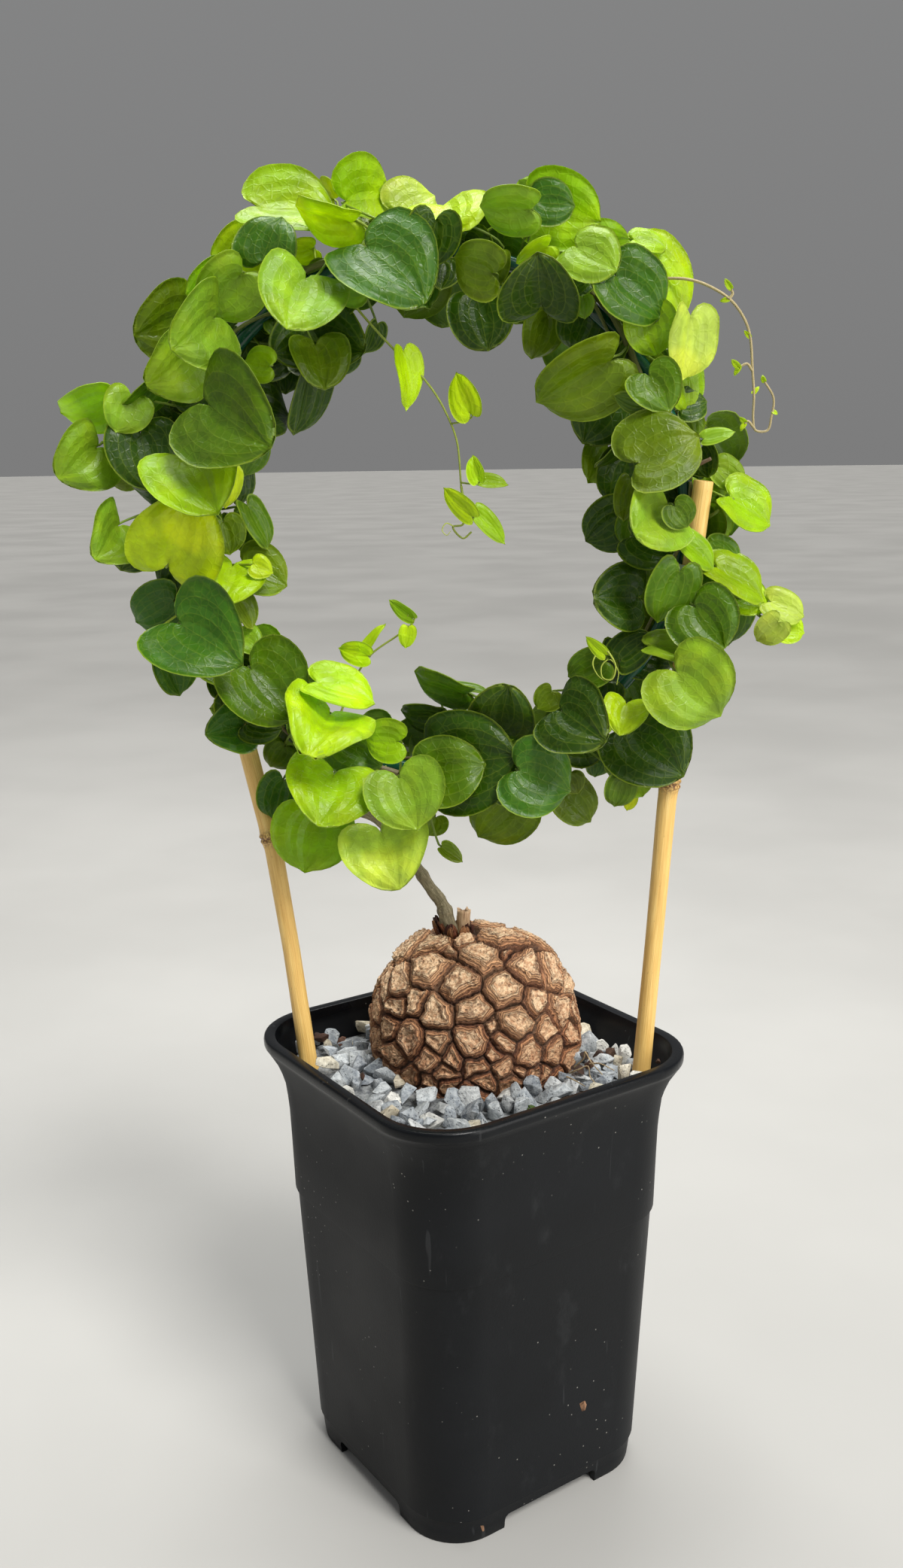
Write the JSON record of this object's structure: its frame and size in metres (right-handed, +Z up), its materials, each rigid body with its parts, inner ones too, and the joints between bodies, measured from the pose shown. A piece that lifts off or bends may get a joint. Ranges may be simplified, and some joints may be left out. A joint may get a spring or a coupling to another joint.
{
  "type": "potted tortoise plant",
  "caption": "Tortoise plant with a cracked corky tuber in a square black pot, its heart-leaved vine trained round a ring on two bamboo canes.",
  "frame": {"origin": "middle of the plant's outline seen from above, on the surface the pot's feet stand on", "axes": "+Z up, +X to the viewer's right along the plane of the ring, -Y towards the front"},
  "size_m": [0.3018, 0.1842, 0.5632],
  "materials": {
    "pot_plastic": "satin black injection-moulded plastic with fine dust",
    "potting_soil": "crumbly dark brown bark and pumice mix",
    "pumice_gravel": "matt grey-blue pumice stones with some cream and white ones",
    "caudex_cork": "rough layered cork plates, tan on top and red-brown in the fissures",
    "dry_stem": "dry pale stem end with a dark centre",
    "stem_wood": "smooth grey-brown stem, greener towards the ring",
    "hoop_coating": "glossy dark green plastic coating",
    "bamboo": "satin straw-yellow bamboo with brown marks at the nodes",
    "tie_film": "translucent white plastic band",
    "leaf": "satin heart-shaped leaves, from yellow-green to deep green, with paler veins and edges",
    "young_leaf": "soft yellow-green young leaves on a thin stem",
    "tendril": "pale thin bare shoot with buds"
  },
  "bodies": {
    "root": {"pot": "pot_plastic", "soil": "potting_soil", "gravel": "pumice_gravel", "caudex": "caudex_cork", "old_stem_stub": "dry_stem", "main_stem": "stem_wood", "hoop": "hoop_coating", "cane_left": "bamboo", "cane_right": "bamboo", "tie_left": "tie_film", "tie_right": "tie_film", "vine_stretch_1": "leaf", "vine_stretch_2": "leaf", "vine_stretch_3": "leaf", "vine_stretch_4": "leaf", "vine_stretch_5": "leaf", "vine_stretch_6": "leaf", "vine_stretch_7": "leaf", "vine_stretch_8": "leaf", "hanging_shoot": "young_leaf", "lower_inner_shoot": "young_leaf", "right_tendril": "tendril"}
  },
  "joints": []
}
